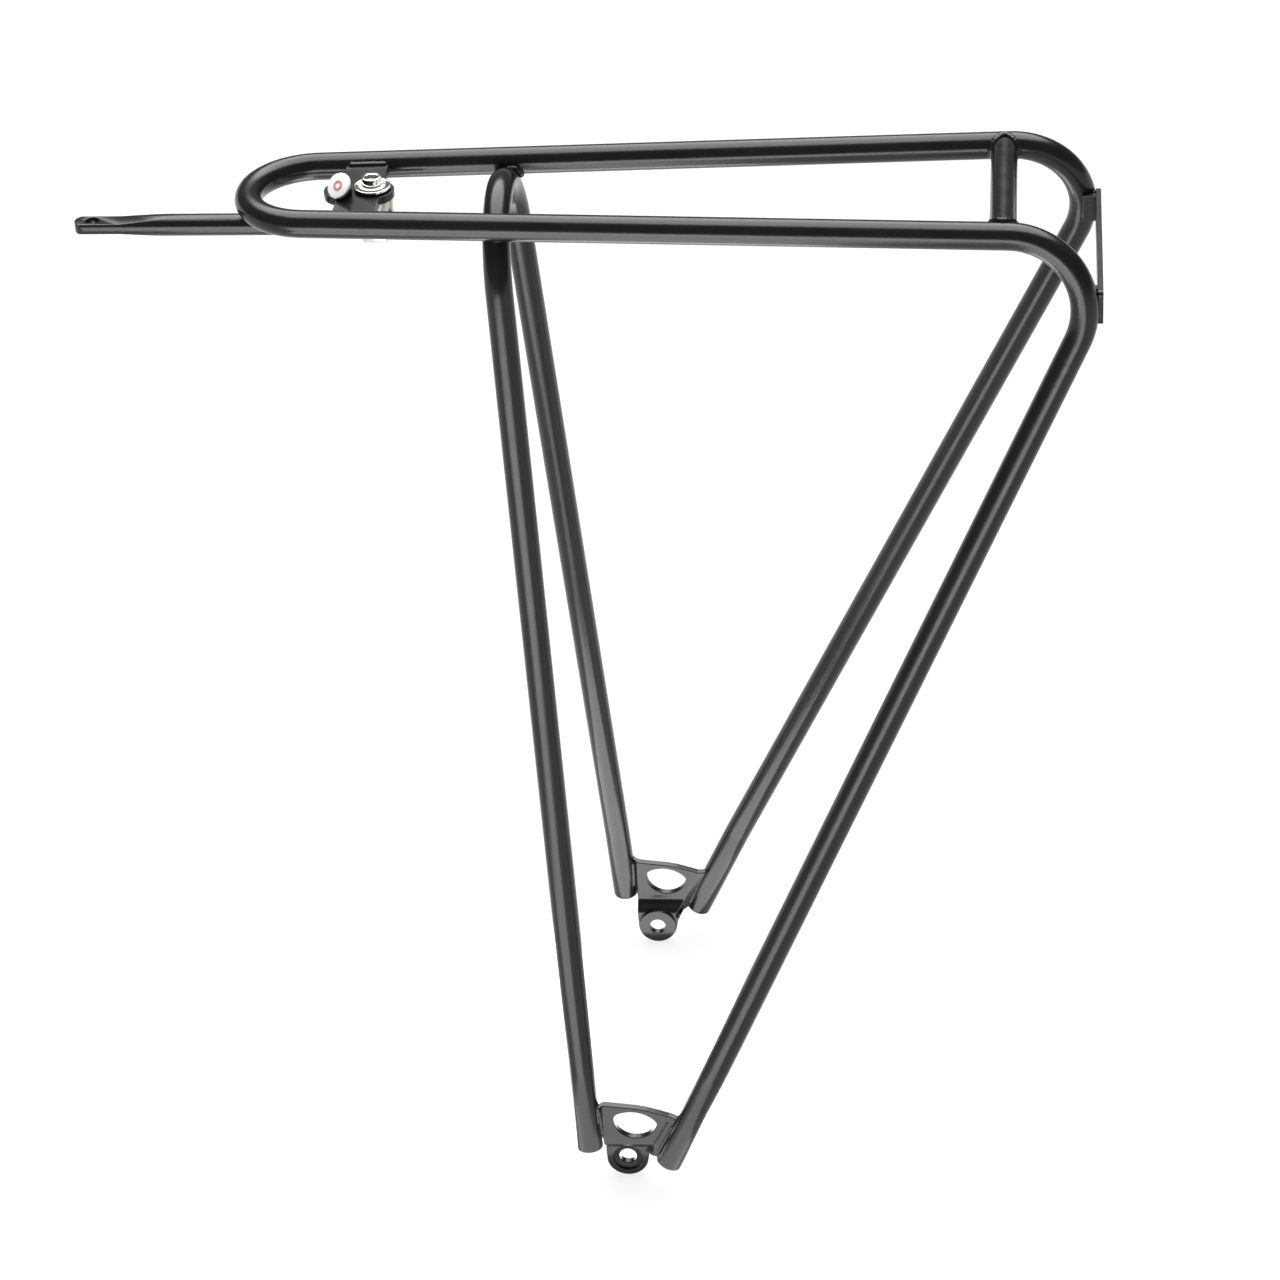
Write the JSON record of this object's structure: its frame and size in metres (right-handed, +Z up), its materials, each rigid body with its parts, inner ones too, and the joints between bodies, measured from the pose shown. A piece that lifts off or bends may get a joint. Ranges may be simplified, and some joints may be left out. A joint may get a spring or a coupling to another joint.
{
  "type": "bicycle rear rack",
  "caption": "Narrow bicycle rear rack of bent black tube, with eyelet feet at the wheel axle, a clamped sliding front stay and a rear light plate.",
  "frame": {"origin": "midway between the two foot holes that bolt to the bicycle frame beside the rear axle", "axes": "+X to the rear of the bicycle, +Y to its right side along the foot hole axis, +Z up"},
  "size_m": [0.3704, 0.1812, 0.392],
  "materials": {
    "frame_paint": "black satin powder coat",
    "seat_plastic": "matt black plastic",
    "badge_white": "glossy white enamel",
    "badge_mark": "red enamel",
    "stainless": "turned stainless steel",
    "bright_steel": "bright polished steel"
  },
  "bodies": {
    "frame": {"main_tube": "frame_paint", "front_hoop": "frame_paint", "rear_crossbar": "frame_paint", "stay_bracket": "frame_paint", "light_plate": "frame_paint", "left_plate_spacer": "frame_paint", "right_plate_spacer": "frame_paint", "left_foot_plate": "frame_paint", "right_foot_plate": "frame_paint", "left_front_end_cap": "frame_paint", "right_front_end_cap": "frame_paint", "left_rear_end_cap": "frame_paint", "right_rear_end_cap": "frame_paint", "badge_seat": "seat_plastic", "badge_disc": "badge_white", "badge_ring": "badge_mark"},
    "clamp": {"clamp_sleeve": "stainless", "eye_bolt": "stainless", "cup_washer": "bright_steel", "lock_washer": "stainless"},
    "nut": {"clamp_nut": "bright_steel"},
    "stay": {"stay": "frame_paint"}
  },
  "joints": [
    {"name": "clamp_swivel", "type": "hinge", "parent": "frame", "child": "clamp", "pos_m": [-0.0806, 0, 0.3725], "axis": [0, 0, 1], "range_deg": [-12, 12]},
    {"name": "stay_slide", "type": "slide", "parent": "clamp", "child": "stay", "axis": [1, 0, 0], "range_m": [-0.006, 0.055]},
    {"name": "nut_turn", "type": "hinge", "parent": "clamp", "child": "nut", "pos_m": [-0.0806, 0, 0.379], "axis": [0, 0, 1], "continuous": true}
  ]
}
